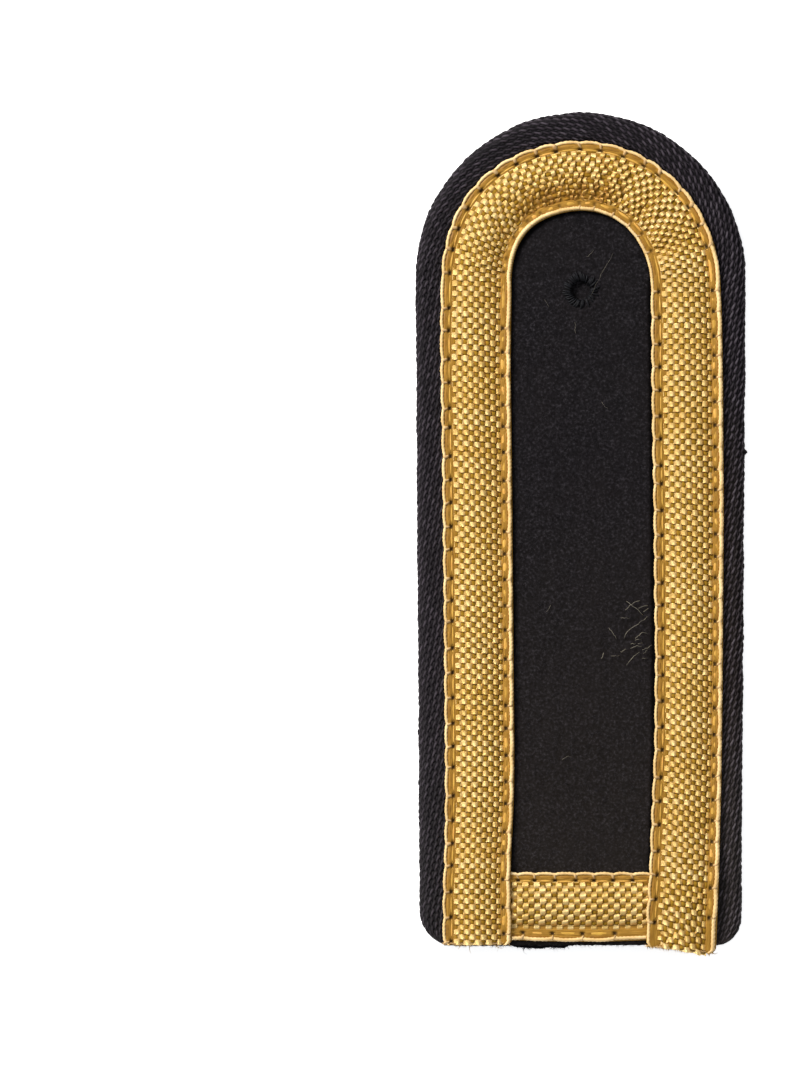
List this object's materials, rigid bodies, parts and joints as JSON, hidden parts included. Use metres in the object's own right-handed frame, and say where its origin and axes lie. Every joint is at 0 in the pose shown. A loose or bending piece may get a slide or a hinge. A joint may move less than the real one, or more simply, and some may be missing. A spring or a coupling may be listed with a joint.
{
  "type": "shoulder board",
  "caption": "Flat sewn-in shoulder board with a round end: felt-backed cloth, edge braid, a horseshoe of woven metallic lace, a lace bar across the foot and a button eyelet.",
  "frame": {"origin": "middle of the board's footprint, on the surface that its back lies on", "axes": "+Z out of the board's face, +Y along the board to its round end, +X to the right seen from above"},
  "size_m": [0.045, 0.1144, 0.0045],
  "materials": {
    "felt": "stiff dark felt, matt and fuzzy at the cut edge",
    "navy_cloth": "milled wool cloth, near-black navy, matt",
    "navy_braid": "flat tubular braid of near-black navy yarn, faint sheen",
    "gold_lace": "woven metallic thread, bright gold floats on brown ground",
    "thread": "black sewing thread, worked close, soft sheen"
  },
  "bodies": {
    "root": {"backing": "felt", "cloth_field": "navy_cloth", "edge_braid": "navy_braid", "lace_loop": "gold_lace", "cross_lace": "gold_lace", "eyelet": "thread"}
  },
  "joints": []
}
